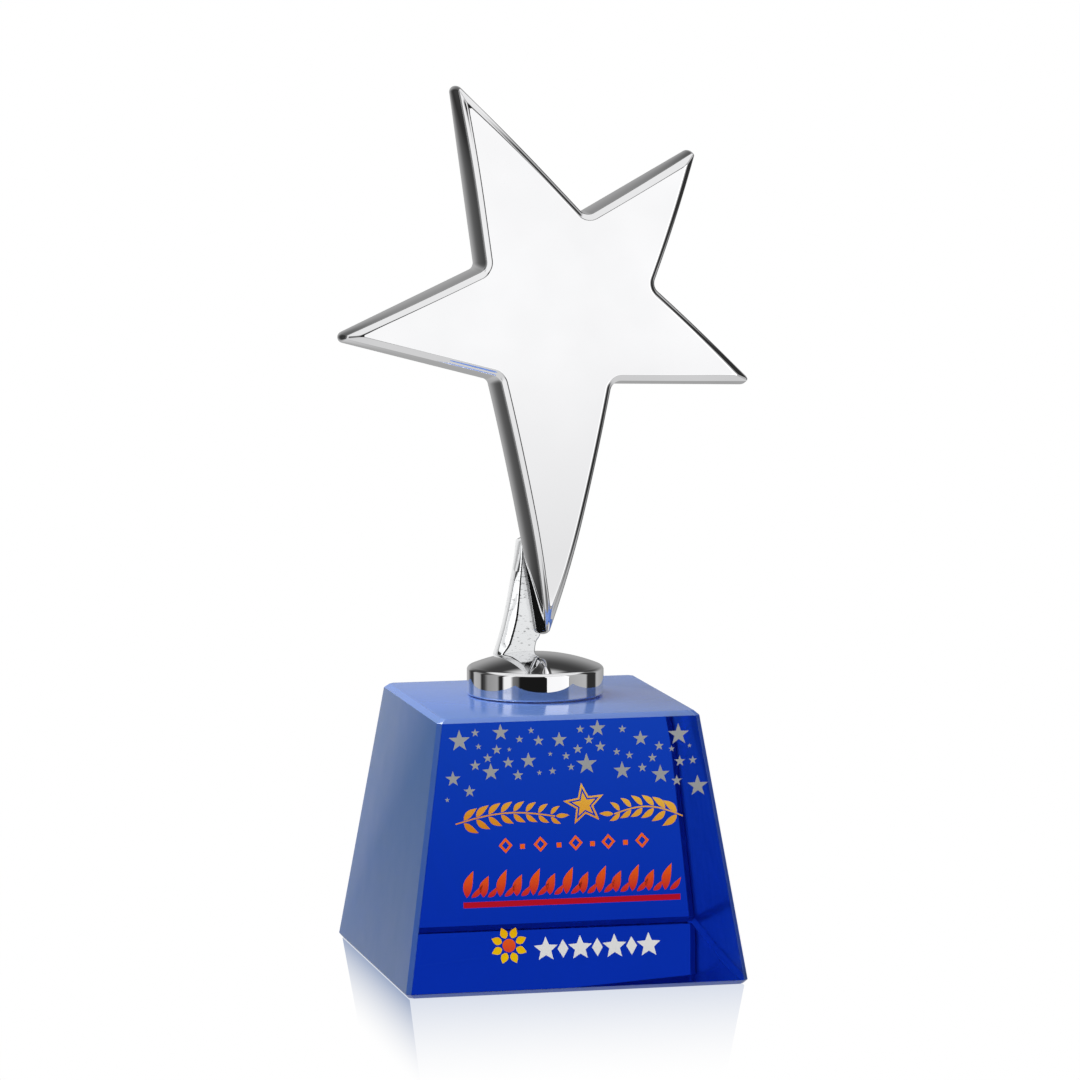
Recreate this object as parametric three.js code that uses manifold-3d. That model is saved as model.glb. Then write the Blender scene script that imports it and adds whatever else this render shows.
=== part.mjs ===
// Star trophy, in millimetres: +Z up, the front towards -Y, origin at the middle of the block's underside.
// A leaning five-point star stands on a curved blade and a round foot, on a tapered block of blue crystal.
import * as THREE from 'three';
import { mergeVertices } from 'three/addons/utils/BufferGeometryUtils.js';
import Module from 'manifold-3d';

const wasm = await Module();
wasm.setup();

// Crystal block: a square, tapered block with every edge broken by a small chamfer.
const blockBottom = 80;
const blockTop = 61;
const blockHeight = 62;
const blockChamfer = 1;

// Film of clear adhesive between the block and the foot.
const bondThickness = 0.25;
const bondMargin = 0.8;

// Round foot: an upright rim, a rounded shoulder and a shallow dome.
const footRadius = 15.9;
const footHeight = 9.5;
const footRim = 4.6;
const footShoulder = 2.3;
const footDomeRise = 2.3;
const footEdge = 0.4;
const footSetback = 4;

// Star: the whole star leans back about a line behind its lowest point.
const starLean = THREE.MathUtils.degToRad(4);
const starDepth = 12.8;
const starTipGap = 3.4;
const starWall = 3;
const tipRadius = 0.5;
const notchRadius = 2.6;
const legBow = 0.6;
const tipDrop = 5;
const tipReach = 30;

// Corners of the star's front outline before rounding, across and up the star's own plane.
const starCorners = [
  { name: 'top tip', at: [-17.2, 128], tip: true },
  { name: 'upper left notch', at: [-11.9, 85.5] },
  { name: 'left tip', at: [-45.3, 70.3], tip: true },
  { name: 'lower left notch', at: [-9.3, 60.7] },
  { name: 'bottom tip', at: [2, -0.5], tip: true },
  { name: 'lower right notch', at: [17.4, 59.3] },
  { name: 'right tip', at: [51.7, 58.4], tip: true },
  { name: 'right notch', at: [27.2, 80.9] },
  { name: 'upper right tip', at: [39.3, 112.2], tip: true },
  { name: 'top notch', at: [11.8, 97.1] },
];
const bottomTip = starCorners.findIndex(({ name }) => name === 'bottom tip');

// Edge of the star, from the front face to the back: a bevel, a wall that swells a little, a back bevel.
// The shares place a ring part way down the wall; the insets place rings on the face, inwards from the bevel.
const bevelAcross = 1.4;
const bevelDepth = 1.1;
const wallSwell = 0.6;
const swellShare = 0.6;
const fallShare = 0.5;
const faceInsets = [4.5, 2.5, 1];
const backBevel = 1.2;

// Hollow of the star and the plate that closes it.
const plateThickness = 1.6;
const plateRecess = 0.3;
const plateLedge = 2.2;
const plateMargin = 1.3;
const hollowFoot = 30;

// Blade behind the star's leg, and its root in the foot.
const bladeThickness = 5.4;
const bladeSetback = 3.5;
const bladeEdge = 0.4;
const rootDepth = 4.4;
const bladeLeft = [[-8.2, -4.2], [-6.3, 1.6], [-4.9, 7.4], [-3.8, 13.1], [-2.9, 17.8], [-2.3, 22.3]];
const bladeTopCorner = [4.6, 26];
const bladeRight = [[4.6, 19], [3.3, 7], [2.2, 0.7], [1.1, -1.4], [0.7, -3.6]];

// Fasteners: countersunk socket screws and one locating pin.
const screwRadius = 1;
const screwHeadRadius = 1.8;
const screwHeadDepth = 1.1;
const screwHeadRim = 0.25;
const screwEndChamfer = 0.3;
const socketAcross = 1.3;
const socketDepth = 0.7;
const starScrewSpots = [[1.4, 12.5], [1.3, 20.5]];
const starScrewLength = 12;
const rootScrewBite = 5;
const rootScrewInset = 2.3;
const pinBite = 3.4;
const pinInset = 6.8;
const pinRadius = 1;
const bossRadius = 3;
const plateScrewLength = 6;
const plateScrewSpots = [[1.2, 44], [-6, 76], [20, 84]];

// Clearances.
const seatGap = 0.3;
const holeGap = 0.2;

// Values that follow from the dimensions above.
const footBase = blockHeight + bondThickness;
const footTop = footBase + footHeight;
const starOrigin = new THREE.Vector3(0, footSetback + bladeSetback - seatGap, footTop + starTipGap);
const bladeFront = seatGap;
const bladeBack = bladeFront + bladeThickness;
const rootBottom = bladeLeft[0][1] - rootDepth;
const rootScrewAcross = bladeLeft[0][0] + rootScrewInset;
const pinAcross = bladeLeft[0][0] + pinInset;

// Moves anything from the star's leaning frame to the trophy's frame.
const starPlace = new THREE.Matrix4()
  .makeRotationX(-starLean)
  .setPosition(starOrigin);

// The foot's floor below the blade's root, along the leaning blade: the screw and the pin pass through it.
const rootMiddle = new THREE.Vector3(0, (bladeFront + bladeBack) / 2, rootBottom).applyMatrix4(starPlace);
const rootFloor = (rootMiddle.z - footBase - footEdge) / Math.cos(starLean);
const rootScrewLength = rootFloor + rootScrewBite;
const pinLength = rootFloor + pinBite;

// Fineness of curves.
const arcSteps = 6;
const edgeSteps = 6;
const domeSteps = 6;
const curveSteps = 18;
const roundSides = 24;

const chrome = { color: 0xe4e6e8, metalness: 1, roughness: 0.05 };
const materials = {
  crystal: { color: 0x0a2fb8, metalness: 0, roughness: 0.04, transparent: true, opacity: 0.85 },
  adhesive: { color: 0xdfe6ee, metalness: 0, roughness: 0.2, transparent: true, opacity: 0.5 },
  chrome,
  steel: { color: 0xb9bcc0, metalness: 1, roughness: 0.3 },
};

function named(name, geometry, material) {
  const mesh = new THREE.Mesh(geometry, new THREE.MeshStandardMaterial(materials[material]));
  mesh.name = name;
  return mesh;
}

// A closed three.js geometry as a solid that can be joined and cut.
function solidOf(geometry) {
  const bare = geometry.clone();
  bare.deleteAttribute('normal');
  bare.deleteAttribute('uv');
  const merged = mergeVertices(bare, 1e-4);
  const vertProperties = new Float32Array(merged.attributes.position.array);
  const triVerts = new Uint32Array(merged.index.array);
  return new wasm.Manifold(new wasm.Mesh({ numProp: 3, vertProperties, triVerts }));
}

function geometryOf(solid) {
  const mesh = solid.getMesh();
  const geometry = new THREE.BufferGeometry();
  geometry.setAttribute('position', new THREE.BufferAttribute(mesh.vertProperties, 3));
  geometry.setIndex(new THREE.BufferAttribute(mesh.triVerts, 1));
  geometry.computeVertexNormals();
  return geometry;
}

// Joins a row of rings, each a list of [across, depth, up] points, front to back, and closes both ends.
function loft(rings) {
  const count = rings[0].length;
  const faces = [];
  const cap = (layer) => {
    const flat = rings[layer].map(([x, , z]) => new THREE.Vector2(x, z));
    return THREE.ShapeUtils.triangulateShape(flat, []).map((face) => face.map((i) => i + layer * count));
  };
  faces.push(...cap(0));
  faces.push(...cap(rings.length - 1).map(([a, b, c]) => [a, c, b]));
  for (let layer = 0; layer < rings.length - 1; layer += 1) {
    for (let i = 0; i < count; i += 1) {
      const [a, b] = [layer * count + i, layer * count + ((i + 1) % count)];
      faces.push([a, a + count, b + count], [a, b + count, b]);
    }
  }
  const geometry = new THREE.BufferGeometry();
  geometry.setAttribute('position', new THREE.Float32BufferAttribute(rings.flat(2), 3));
  geometry.setIndex(faces.flat());
  geometry.computeVertexNormals();
  return geometry;
}

// An outline of [across, up] points as a flat ring at one depth.
function flatRing(outline, depth) {
  return outline.map(([x, z]) => [x, depth, z]);
}

// A bar of the given outline between two depths.
function prism(outline, front, back) {
  return loft([flatRing(outline, front), flatRing(outline, back)]);
}

function rectangle(left, right, low, high) {
  return [[left, low], [right, low], [right, high], [left, high]];
}

// A round bar along the depth direction, at a place in the star's plane.
function roundBar(radius, front, back, [across, up]) {
  const bar = new THREE.CylinderGeometry(radius, radius, back - front, roundSides);
  return bar.translate(across, (front + back) / 2, up);
}

// The star's outline moved inwards by a distance (outwards when negative), with its tips and notches rounded.
function starOutline(inset) {
  const corners = starCorners.map(({ at }) => new THREE.Vector2(...at));
  const count = corners.length;
  const edges = corners.map((corner, i) => {
    const along = corners[(i + 1) % count].clone().sub(corner).normalize();
    const inwards = new THREE.Vector2(-along.y, along.x);
    return { along, start: corner.clone().addScaledVector(inwards, inset) };
  });
  const sharp = edges.map((edge, i) => {
    const before = edges[(i + count - 1) % count];
    const apart = edge.start.clone().sub(before.start);
    const reach = apart.cross(edge.along) / before.along.cross(edge.along);
    return before.start.clone().addScaledVector(before.along, reach);
  });
  const arcs = sharp.map((corner, i) => {
    const before = edges[(i + count - 1) % count].along;
    const after = edges[i].along;
    const turn = Math.atan2(before.cross(after), before.dot(after));
    const isTip = turn > 0;
    const radius = isTip ? Math.max(tipRadius - inset, 0.25) : notchRadius + inset;
    const tangent = radius * Math.tan(Math.abs(turn) / 2);
    const side = isTip ? 1 : -1;
    const start = corner.clone().addScaledVector(before, -tangent);
    const centre = start.clone().addScaledVector(new THREE.Vector2(-before.y, before.x), side * radius);
    const spoke = start.clone().sub(centre);
    const steps = Array.from({ length: arcSteps + 1 }, (_, k) => k / arcSteps);
    return steps.map((t) => spoke.clone().rotateAround(new THREE.Vector2(), turn * t).add(centre));
  });
  const points = arcs.flatMap((arc, i) => {
    const from = arc.at(-1);
    const to = arcs[(i + 1) % count][0];
    const isLegSide = i === bottomTip || i + 1 === bottomTip;
    const between = Array.from({ length: edgeSteps - 1 }, (_, k) => (k + 1) / edgeSteps).map((t) => {
      const middle = from.clone().lerp(to, t);
      middle.x += isLegSide ? legBow * 4 * t * (1 - t) : 0;
      return middle;
    });
    return [...arc, ...between];
  });
  return points.map(({ x, y }) => [x, y]);
}

// The front falls back towards each tip, by tipDrop at the tip's corner and not at all beyond tipReach.
function frontDrop(x, z) {
  const away = starCorners.filter(({ tip }) => tip).map(({ at }) => Math.hypot(x - at[0], z - at[1]));
  const near = Math.max(0, 1 - Math.min(...away) / tipReach);
  return tipDrop * near * near;
}

// A ring of the star's outline, which takes a share of the front's fall at the tips.
function starRing(inset, depth, share) {
  return starOutline(inset).map(([x, z]) => [x, depth + share * frontDrop(x, z), z]);
}

// A body turned about the Y axis from a half section of [radius, height] points, listed from the top.
function turned(profile, sides) {
  return new THREE.LatheGeometry(profile.map(([r, y]) => new THREE.Vector2(r, y)).reverse(), sides);
}

// A countersunk socket screw along +Y: the head's flat end at the origin, the shank towards -Y.
function countersunkScrew(length) {
  const profile = [
    [0, 0], [screwHeadRadius, 0], [screwHeadRadius, -screwHeadRim], [screwRadius, -screwHeadDepth],
    [screwRadius, -length + screwEndChamfer], [screwRadius - screwEndChamfer, -length], [0, -length],
  ];
  const socketCorner = socketAcross / Math.sqrt(3);
  const socket = new THREE.CylinderGeometry(socketCorner, socketCorner, 2 * socketDepth, 6);
  return geometryOf(solidOf(turned(profile, roundSides)).subtract(solidOf(socket)));
}

// The hole for such a screw: a countersink, then a bore, both with clearance.
function countersunkHole(length, [across, up], back) {
  const head = screwHeadRadius + holeGap;
  const shank = screwRadius + holeGap;
  const profile = [
    [0, 1], [head, 1], [head, -screwHeadRim - holeGap], [shank, -screwHeadDepth - holeGap],
    [shank, -length - seatGap], [0, -length - seatGap],
  ];
  return solidOf(turned(profile, roundSides).translate(across, back, up));
}

function crystalBlock() {
  const square = (half) => {
    const cut = half - blockChamfer;
    return [
      [-cut, -half], [cut, -half], [half, -cut], [half, cut],
      [cut, half], [-cut, half], [-half, cut], [-half, -cut],
    ];
  };
  const halfAt = (height) => (blockBottom + (blockTop - blockBottom) * (height / blockHeight)) / 2;
  const levels = [
    { height: 0, half: halfAt(0) - blockChamfer },
    { height: blockChamfer, half: halfAt(blockChamfer) },
    { height: blockHeight - blockChamfer, half: halfAt(blockHeight - blockChamfer) },
    { height: blockHeight, half: halfAt(blockHeight) - blockChamfer },
  ];
  const rings = levels.map(({ height, half }) => flatRing(square(half), -height)).reverse();
  return named('crystal_block', loft(rings).rotateX(-Math.PI / 2), 'crystal');
}

function footBond() {
  const radius = footRadius - bondMargin;
  const film = new THREE.CylinderGeometry(radius, radius, bondThickness, 2 * roundSides).rotateX(Math.PI / 2);
  film.translate(0, footSetback, blockHeight + bondThickness / 2);
  return named('foot_bond', film, 'adhesive');
}

// Half section of the foot, from the middle of its dome out to its rim and back along its underside.
function footProfile() {
  const domeEdge = footRadius - footShoulder;
  const domeSphere = (domeEdge ** 2 + footDomeRise ** 2) / (2 * footDomeRise);
  const profile = [[0, footHeight]];
  for (let k = 1; k <= domeSteps; k += 1) {
    const r = domeEdge * (k / domeSteps);
    profile.push([r, footHeight - domeSphere + Math.sqrt(domeSphere ** 2 - r ** 2)]);
  }
  const shoulderRise = footHeight - footDomeRise - footRim;
  for (let k = 1; k <= arcSteps; k += 1) {
    const angle = (Math.PI / 2) * (k / arcSteps);
    profile.push([domeEdge + footShoulder * Math.sin(angle), footRim + shoulderRise * Math.cos(angle)]);
  }
  profile.push([footRadius, footEdge], [footRadius - footEdge, 0], [0, 0]);
  return profile;
}

// The foot is drilled from below for the root screw and the pin, and its top has a slot for the blade's root.
function foot() {
  const body = turned(footProfile(), 2 * roundSides).rotateX(Math.PI / 2);
  body.translate(0, footSetback, footBase);
  const slotLeft = bladeLeft[0][0] - seatGap;
  const slotRight = bladeRight.at(-1)[0] + seatGap;
  const slotOutline = rectangle(slotLeft, slotRight, rootBottom - seatGap, bladeLeft[0][1] + rootDepth);
  const slot = prism(slotOutline, bladeFront - seatGap, bladeBack + seatGap).applyMatrix4(starPlace);
  const cut = solidOf(body).subtract(solidOf(slot)).subtract(rootScrewHole()).subtract(rootPinHole());
  return named('foot', geometryOf(cut), 'chrome');
}

// A place on the foot's underside, below the blade's root, whose +Y points down along the leaning blade.
function rootPlace(across) {
  const down = new THREE.Vector3(0, 0, -1).transformDirection(starPlace);
  const spot = rootMiddle.clone().setX(across).addScaledVector(down, rootFloor);
  return new THREE.Matrix4().makeRotationX(-Math.PI / 2 - starLean).setPosition(spot);
}

function rootScrewHole() {
  const hole = geometryOf(countersunkHole(rootScrewLength, [0, 0], 0));
  return solidOf(hole.applyMatrix4(rootPlace(rootScrewAcross)));
}

function rootScrew() {
  const screw = countersunkScrew(rootScrewLength).applyMatrix4(rootPlace(rootScrewAcross));
  return named('root_screw', screw, 'steel');
}

function rootPinHole() {
  const hole = new THREE.CylinderGeometry(
    pinRadius + holeGap, pinRadius + holeGap, 2 * (pinLength + seatGap), roundSides,
  );
  return solidOf(hole.applyMatrix4(rootPlace(pinAcross)));
}

function rootPin() {
  const pin = new THREE.CylinderGeometry(pinRadius, pinRadius, pinLength, roundSides);
  pin.translate(0, -pinLength / 2, 0).applyMatrix4(rootPlace(pinAcross));
  return named('root_pin', pin, 'steel');
}

function bladeShape() {
  const left = new THREE.SplineCurve(bladeLeft.map(([x, y]) => new THREE.Vector2(x, y)));
  const right = new THREE.SplineCurve(bladeRight.map(([x, y]) => new THREE.Vector2(x, y)));
  const outline = [
    new THREE.Vector2(bladeLeft[0][0], rootBottom),
    ...left.getPoints(curveSteps),
    new THREE.Vector2(...bladeTopCorner),
    ...right.getPoints(curveSteps),
    new THREE.Vector2(bladeRight.at(-1)[0], rootBottom),
  ];
  return new THREE.Shape(outline.reverse());
}

// The blade is cut from a plate with lightly broken edges, with its screws' holes from behind and from below.
function blade() {
  const plate = new THREE.ExtrudeGeometry(bladeShape(), {
    depth: bladeThickness - 2 * bladeEdge,
    bevelThickness: bladeEdge,
    bevelSize: bladeEdge,
    bevelOffset: -bladeEdge,
    bevelSegments: 1,
  });
  plate.rotateX(Math.PI / 2).translate(0, bladeBack - bladeEdge, 0);
  let body = solidOf(plate);
  for (const spot of starScrewSpots) {
    body = body.subtract(countersunkHole(starScrewLength, spot, bladeBack));
  }
  body = body.transform(starPlace.elements);
  body = body.subtract(rootScrewHole()).subtract(rootPinHole());
  return named('blade', geometryOf(body), 'chrome');
}

// Everything in the star's hollow lies above the solid end of the leg.
function aboveHollowFoot(geometry, low) {
  const keep = prism(rectangle(-200, 200, low, 400), -50, 50);
  return solidOf(geometry).intersect(solidOf(keep));
}

function starShell() {
  const widest = -wallSwell;
  const rings = [
    ...faceInsets.map((inset) => starRing(bevelAcross + inset, -starDepth, 1)),
    starRing(bevelAcross, -starDepth, 1),
    starRing(0, -starDepth + bevelDepth, 1),
    starRing(widest * swellShare, -starDepth * swellShare, fallShare),
    starRing(widest, -backBevel, 0),
    starRing(widest + backBevel, 0, 0),
  ];
  const hollowFloor = -starDepth + starWall;
  const ledge = -plateRecess - plateThickness - seatGap;
  const hollow = prism(starOutline(plateMargin + plateLedge), hollowFloor, 1);
  const rebate = prism(starOutline(plateMargin), ledge, 1);
  let body = solidOf(loft(rings));
  body = body.subtract(aboveHollowFoot(hollow, hollowFoot + plateLedge));
  body = body.subtract(aboveHollowFoot(rebate, hollowFoot));
  for (const spot of plateScrewSpots) {
    body = body.add(solidOf(roundBar(bossRadius, hollowFloor - 0.5, ledge, spot)));
    body = body.subtract(countersunkHole(plateScrewLength, spot, -plateRecess));
  }
  for (const spot of starScrewSpots) {
    body = body.subtract(countersunkHole(starScrewLength, spot, bladeBack));
  }
  return named('star_shell', geometryOf(body), 'chrome');
}

function starBackPlate() {
  const outline = starOutline(plateMargin + seatGap);
  const plate = prism(outline, -plateRecess - plateThickness, -plateRecess);
  let body = aboveHollowFoot(plate, hollowFoot + seatGap);
  for (const spot of plateScrewSpots) {
    body = body.subtract(countersunkHole(plateScrewLength, spot, -plateRecess));
  }
  return named('star_back_plate', geometryOf(body), 'chrome');
}

function screwRow(prefix, length, spots, back) {
  return spots.map(([across, up], i) => {
    const screw = countersunkScrew(length).translate(across, back, up);
    return named(`${prefix}_${i + 1}`, screw, 'steel');
  });
}

const star = new THREE.Group();
star.applyMatrix4(starPlace);
star.add(
  starShell(),
  starBackPlate(),
  ...screwRow('star_screw', starScrewLength, starScrewSpots, bladeBack),
  ...screwRow('plate_screw', plateScrewLength, plateScrewSpots, -plateRecess),
);

const trophy = new THREE.Group();
trophy.add(crystalBlock(), footBond(), foot(), rootScrew(), rootPin(), blade(), star);

export default trophy;
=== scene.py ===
import math

import bmesh
import bpy
from bpy.props import FloatProperty, FloatVectorProperty, IntProperty, PointerProperty
from mathutils import Matrix, Vector
from mathutils.geometry import delaunay_2d_cdt


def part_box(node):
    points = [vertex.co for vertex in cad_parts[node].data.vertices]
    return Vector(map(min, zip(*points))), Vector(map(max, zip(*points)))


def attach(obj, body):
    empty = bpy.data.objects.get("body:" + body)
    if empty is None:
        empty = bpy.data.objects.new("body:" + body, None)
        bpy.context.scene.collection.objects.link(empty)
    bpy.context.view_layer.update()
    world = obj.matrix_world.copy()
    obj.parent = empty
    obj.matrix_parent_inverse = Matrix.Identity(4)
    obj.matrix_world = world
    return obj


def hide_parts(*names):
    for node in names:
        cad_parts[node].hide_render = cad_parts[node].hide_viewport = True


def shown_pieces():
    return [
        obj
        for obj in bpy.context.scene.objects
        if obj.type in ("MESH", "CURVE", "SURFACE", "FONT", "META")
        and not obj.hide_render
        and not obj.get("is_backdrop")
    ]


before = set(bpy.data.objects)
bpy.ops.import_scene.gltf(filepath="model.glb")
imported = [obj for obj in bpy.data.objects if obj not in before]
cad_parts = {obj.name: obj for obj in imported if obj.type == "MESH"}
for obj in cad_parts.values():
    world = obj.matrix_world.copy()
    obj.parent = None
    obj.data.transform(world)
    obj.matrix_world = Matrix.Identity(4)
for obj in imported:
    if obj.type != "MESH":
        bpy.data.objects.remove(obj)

bl_info = {
    "name": "Star trophy",
    "version": (1, 0, 0),
    "blender": (4, 5, 0),
    "location": "View3D > Sidebar > Trophy",
    "description": "A polished leaning star on a curved blade, a round foot and a block of blue crystal",
    "category": "Add Mesh",
}

MM = 0.001

# Corners of the star's front outline before rounding, in mm across and up the star's own plane.
STAR_CORNERS = [
    (-17.2, 128.0), (-11.9, 85.5), (-45.3, 70.3), (-9.3, 60.7), (2.0, -0.5),
    (17.4, 59.3), (51.7, 58.4), (27.2, 80.9), (39.3, 112.2), (11.8, 97.1),
]
BOTTOM_TIP = 4  # its number among the corners
STAR_PLATE_SCREWS = [(1.2, 44.0), (-6.0, 76.0), (20.0, 84.0)]

# The blade's left side upwards, its top corner, its right side downwards and its screws, in the same plane.
BLADE_LEFT = [(-8.2, -4.2), (-6.3, 1.6), (-4.9, 7.4), (-3.8, 13.1), (-2.9, 17.8), (-2.3, 22.3)]
BLADE_TOP = (4.6, 26.0)
BLADE_RIGHT = [(4.6, 19.0), (3.3, 7.0), (2.2, 0.7), (1.1, -1.4), (0.7, -3.6)]
BLADE_SCREWS = [(1.4, 12.5), (1.3, 20.5)]

BLOCK_LOW, BLOCK_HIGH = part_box("crystal_block")
FOOT_LOW, FOOT_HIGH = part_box("foot")
BLOCK_HEIGHT = BLOCK_HIGH.z - BLOCK_LOW.z

# Corners of the turned bodies, and steps along the curves.
SCREW_SIDES, FOOT_SIDES = 48, 192
ARC_STEPS, EDGE_STEPS, WALL_STEPS, BACK_STEPS = 14, 26, 16, 6
BLADE_STEPS, DOME_STEPS, SHOULDER_STEPS = 40, 32, 16
ON_AXIS = 1e-9

# The star's face, in mm: the border inside its bevel, the step of its grid, and a row's height in steps.
FACE_BORDER, GRID_STEP, GRID_ROW = 0.12, 1.5, 0.866

SCREW_CLEARANCE = 0.2 * MM
SLOT_CLEARANCE = 0.12  # mm
STEM_HALF = 0.16  # mm, half the thickness of a laurel's stem
STAR_RAISE = 0.02  # thickness of a printed star before it is scaled
STAR_CLEARANCE = 3.2 * MM  # from a large printed star's middle to the small ones
PRINT_NAMES = ("printed", "gold", "orange", "flame", "crimson", "rosette", "white")

# The crystal's materials by their place on the block.
POLISHED, SATIN, TOP = 0, 1, 2
CRYSTAL_DENSITY, CRYSTAL_IOR, ADHESIVE_IOR = 80.0, 1.52, 1.48
NOISE_RANGE = (0.3, 0.7)
FLOOR_CLEAR = (0.14, 0.2)  # distances over which the floor turns from clear to white
SOFTBOX_AIM = 0.12  # height that the softboxes face

# Numbers of the Mix node's colour sockets and of the Random Value node's float sockets.
MIX_FACTOR, MIX_FIRST, MIX_SECOND, MIX_RESULT = 0, 6, 7, 2
RANDOM_LOW, RANDOM_HIGH, RANDOM_VALUE = 2, 3, 1

# The studio's brightness as reflections see it, by the angle from the front in degrees, rising to the right.
STUDIO_STRIPS = [
    (-180, 0.47), (-166, 0.42), (-157, 0.12), (-150, 0.03), (-142, 0.05), (-138, 0.5), (-120, 0.42),
    (-116, 0.02), (-108, 0.06), (-100, 0.3), (-80, 0.38), (-76, 0.02), (-70, 0.02), (-67, 0.95),
    (-55, 0.95), (-51, 0.2), (-42, 0.12), (-39, 0.01), (4, 0.01), (30, 0.02), (44, 0.06), (47, 0.42),
    (82, 0.5), (86, 0.03), (108, 0.03), (113, 0.5), (150, 0.34), (174, 0.4), (180, 0.47),
]


def length(name, text, value, low=0.0, high=1.0):
    return FloatProperty(
        name=name, description=text, default=value, min=low, max=high, precision=5, unit="LENGTH"
    )


def angle_size(name, text, degrees):
    return FloatProperty(name=name, description=text, default=math.radians(degrees), subtype="ANGLE")


def brightness(name, text, value):
    return FloatProperty(name=name, description=text, default=value, min=0)


def colour(name, text, value):
    return FloatVectorProperty(
        name=name, description=text, default=value, size=3, min=0.0, max=1.0, subtype="COLOR"
    )


class StarSizes(bpy.types.PropertyGroup):
    lean: angle_size("Lean", "How far the star leans back", 4)
    depth: length("Depth", "The star from its face to its back", 12.8 * MM)
    tip_gap: length("Tip gap", "From the top of the foot to the star's own base line", 3.4 * MM)
    setback: length("Setback", "From the block's middle back to the star's back", 7.2 * MM)
    bevel_across: length("Bevel across", "Width of the bevel seen from the front", 1.4 * MM)
    bevel_depth: length("Bevel depth", "Fall of the bevel from the face", 1.05 * MM)
    bevel_bulge: length("Bevel bulge", "How far the polished bevel is rounded", 0.05 * MM)
    bevel_round: length("Bevel round", "Rounding where the bevel meets the face", 0.4 * MM)
    swell: length("Swell", "How far the side walls swell towards the back", 0.85 * MM)
    back_bevel: length("Back bevel", "Rounding of the back edge", 1.2 * MM)
    tip_radius: length("Tip radius", "Rounding of the five tips", 0.5 * MM)
    notch_radius: length("Notch radius", "Rounding of the five notches", 2.6 * MM)
    leg_bow: length("Leg bow", "Sideways bow of the long leg", 0.6 * MM)
    tip_drop: length("Tip drop", "Fall of the face at the tips", 5.0 * MM)
    tip_reach: length("Tip reach", "How far from a tip the face begins to fall", 30.0 * MM)
    wall: length("Wall", "Thickness of the face behind its polish", 3.0 * MM)


class BackSizes(bpy.types.PropertyGroup):
    thickness: length("Plate thickness", "Thickness of the plate that closes the star's back", 1.6 * MM)
    recess: length("Plate recess", "How deep the plate sits in the star's back", 0.3 * MM)
    margin: length("Plate margin", "Rim of the star around the plate", 1.3 * MM)
    ledge: length("Plate ledge", "Width of the ledge under the plate", 2.2 * MM)
    seat_gap: length("Seat gap", "Gap around pieces that sit on each other", 0.3 * MM)
    hollow_foot: length("Hollow foot", "Height above which the star is hollow", 30.0 * MM)


class BladeSizes(bpy.types.PropertyGroup):
    thickness: length("Thickness", "Thickness of the blade", 5.4 * MM)
    root: length("Root", "Depth of the blade's root in the foot", 4.4 * MM)
    edge: length("Edge", "Rounding of the blade's edges", 0.35 * MM)
    slant: length("Slant", "Width of the broad bevel along the left side", 2.0 * MM)
    slant_depth: length("Slant depth", "Depth of the broad bevel along the left side", 1.6 * MM)


class FootSizes(bpy.types.PropertyGroup):
    rim: length("Rim", "Height of the upright rim", 5.6 * MM)
    shoulder: length("Shoulder", "Width of the rounded shoulder", 0.9 * MM)
    dome: length("Dome", "Rise of the dome above the shoulder", 2.9 * MM)
    edge: length("Edge", "Rounding of the lower edge", 0.4 * MM)


class BlockSizes(bpy.types.PropertyGroup):
    bottom: length("Bottom", "Width of the block at its underside", 80.0 * MM)
    top: length("Top", "Width of the block at its top", 61.0 * MM)
    chamfer: length("Chamfer", "Width of the chamfers", 1.0 * MM)
    edge: length("Edge", "Rounding of each chamfer's edges", 0.08 * MM)


class ScrewSizes(bpy.types.PropertyGroup):
    head: length("Head radius", "Radius of the countersunk head", 1.8 * MM)
    shank: length("Shank radius", "Radius of the shank", 1.0 * MM)
    head_depth: length("Head depth", "Depth of the countersunk head", 1.1 * MM)
    rim: length("Head rim", "Height of the head's upright rim", 0.25 * MM)
    socket: length("Socket", "Width of the hexagon socket across its flats", 1.3 * MM)
    socket_depth: length("Socket depth", "Depth of the socket", 0.7 * MM)
    star_length: length("Star screw", "Length of the screws from the blade into the star", 12.0 * MM)
    plate_length: length("Plate screw", "Length of the plate's screws", 6.0 * MM)


class PrintSizes(bpy.types.PropertyGroup):
    thickness: length("Ink thickness", "Thickness of the printed ink", 0.04 * MM)
    lift: length("Ink lift", "Gap between the crystal and the ink", 0.01 * MM)
    star_small: length("Small star", "Outer radius of the smallest printed star", 0.5 * MM)
    star_large: length("Large star", "Outer radius of the largest printed star", 2.6 * MM)
    spacing: length("Spacing", "Least distance between small printed stars", 2.75 * MM)
    large_spacing: length("Large spacing", "Least distance between large printed stars", 8.4 * MM)
    seed: IntProperty(name="Seed", description="Arrangement of the printed stars", default=7, min=0)


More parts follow.
